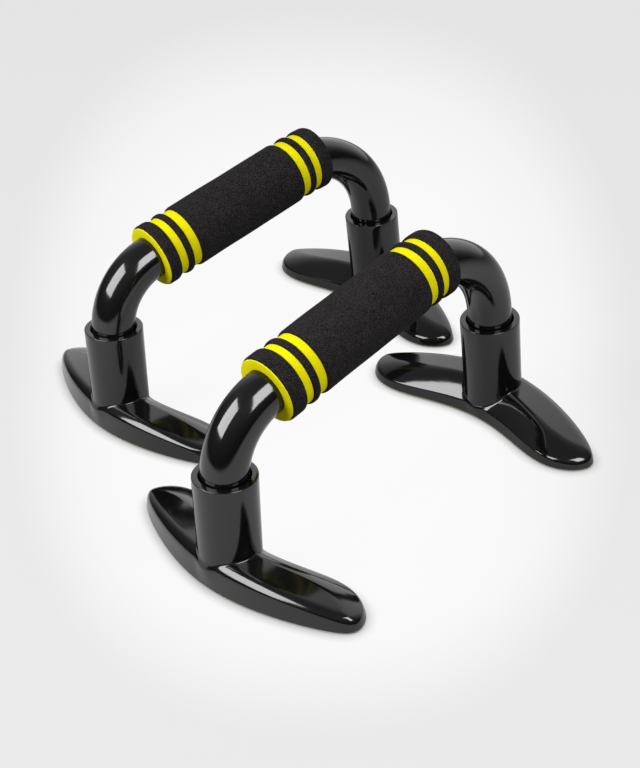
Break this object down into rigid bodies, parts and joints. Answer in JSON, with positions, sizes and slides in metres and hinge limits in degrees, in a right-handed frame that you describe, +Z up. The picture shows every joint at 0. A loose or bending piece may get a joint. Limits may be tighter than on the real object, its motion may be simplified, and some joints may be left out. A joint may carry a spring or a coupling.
{
  "type": "parallette bar",
  "caption": "Low push-up bars with sloping foam grips, each a bent tube standing in two crescent feet with rubber soles.",
  "frame": {"origin": "on the floor, in the middle of the outer box of the two bars as they stand", "axes": "+Z up; +Y along the right bar, from its low end to its high end; +X from the left bar to the right one"},
  "size_m": [0.318, 0.2884, 0.1342],
  "materials": {
    "tube_paint": "gloss black",
    "foot_plastic": "gloss black",
    "plug_plastic": "satin",
    "skin_foam": "matte, fine closed cells",
    "core_foam": "matte, fine closed cells",
    "sole_rubber": "matte"
  },
  "bodies": {
    "right_handle": {"right_handle_tube": "tube_paint", "right_front_end_plug": "plug_plastic", "right_rear_end_plug": "plug_plastic", "right_grip_core": "core_foam", "right_grip_sleeve": "skin_foam", "right_grip_front_ring": "skin_foam", "right_grip_rear_ring": "skin_foam", "right_grip_front_band": "skin_foam", "right_grip_rear_band": "skin_foam"},
    "right_front_foot": {"right_front_foot": "foot_plastic", "right_front_sole": "sole_rubber"},
    "right_rear_foot": {"right_rear_foot": "foot_plastic", "right_rear_sole": "sole_rubber"},
    "left_handle": {"left_handle_tube": "tube_paint", "left_front_end_plug": "plug_plastic", "left_rear_end_plug": "plug_plastic", "left_grip_core": "core_foam", "left_grip_sleeve": "skin_foam", "left_grip_front_ring": "skin_foam", "left_grip_rear_ring": "skin_foam", "left_grip_front_band": "skin_foam", "left_grip_rear_band": "skin_foam"},
    "left_front_foot": {"left_front_foot": "foot_plastic", "left_front_sole": "sole_rubber"},
    "left_rear_foot": {"left_rear_foot": "foot_plastic", "left_rear_sole": "sole_rubber"}
  },
  "joints": [
    {"name": "left_bar_spacing", "type": "slide", "parent": "right_handle", "child": "left_handle", "axis": [-1, 0, 0], "range_m": [0, 0.3]},
    {"name": "right_front_foot_pull", "type": "slide", "parent": "right_handle", "child": "right_front_foot", "axis": [0, -0.0523, -0.9986], "range_m": [0, 0.044]},
    {"name": "right_rear_foot_pull", "type": "slide", "parent": "right_handle", "child": "right_rear_foot", "axis": [0, 0.0523, -0.9986], "range_m": [0, 0.044]},
    {"name": "left_front_foot_pull", "type": "slide", "parent": "left_handle", "child": "left_front_foot", "axis": [-0.0037, -0.0522, -0.9986], "range_m": [0, 0.044]},
    {"name": "left_rear_foot_pull", "type": "slide", "parent": "left_handle", "child": "left_rear_foot", "axis": [0.0037, 0.0522, -0.9986], "range_m": [0, 0.044]}
  ]
}
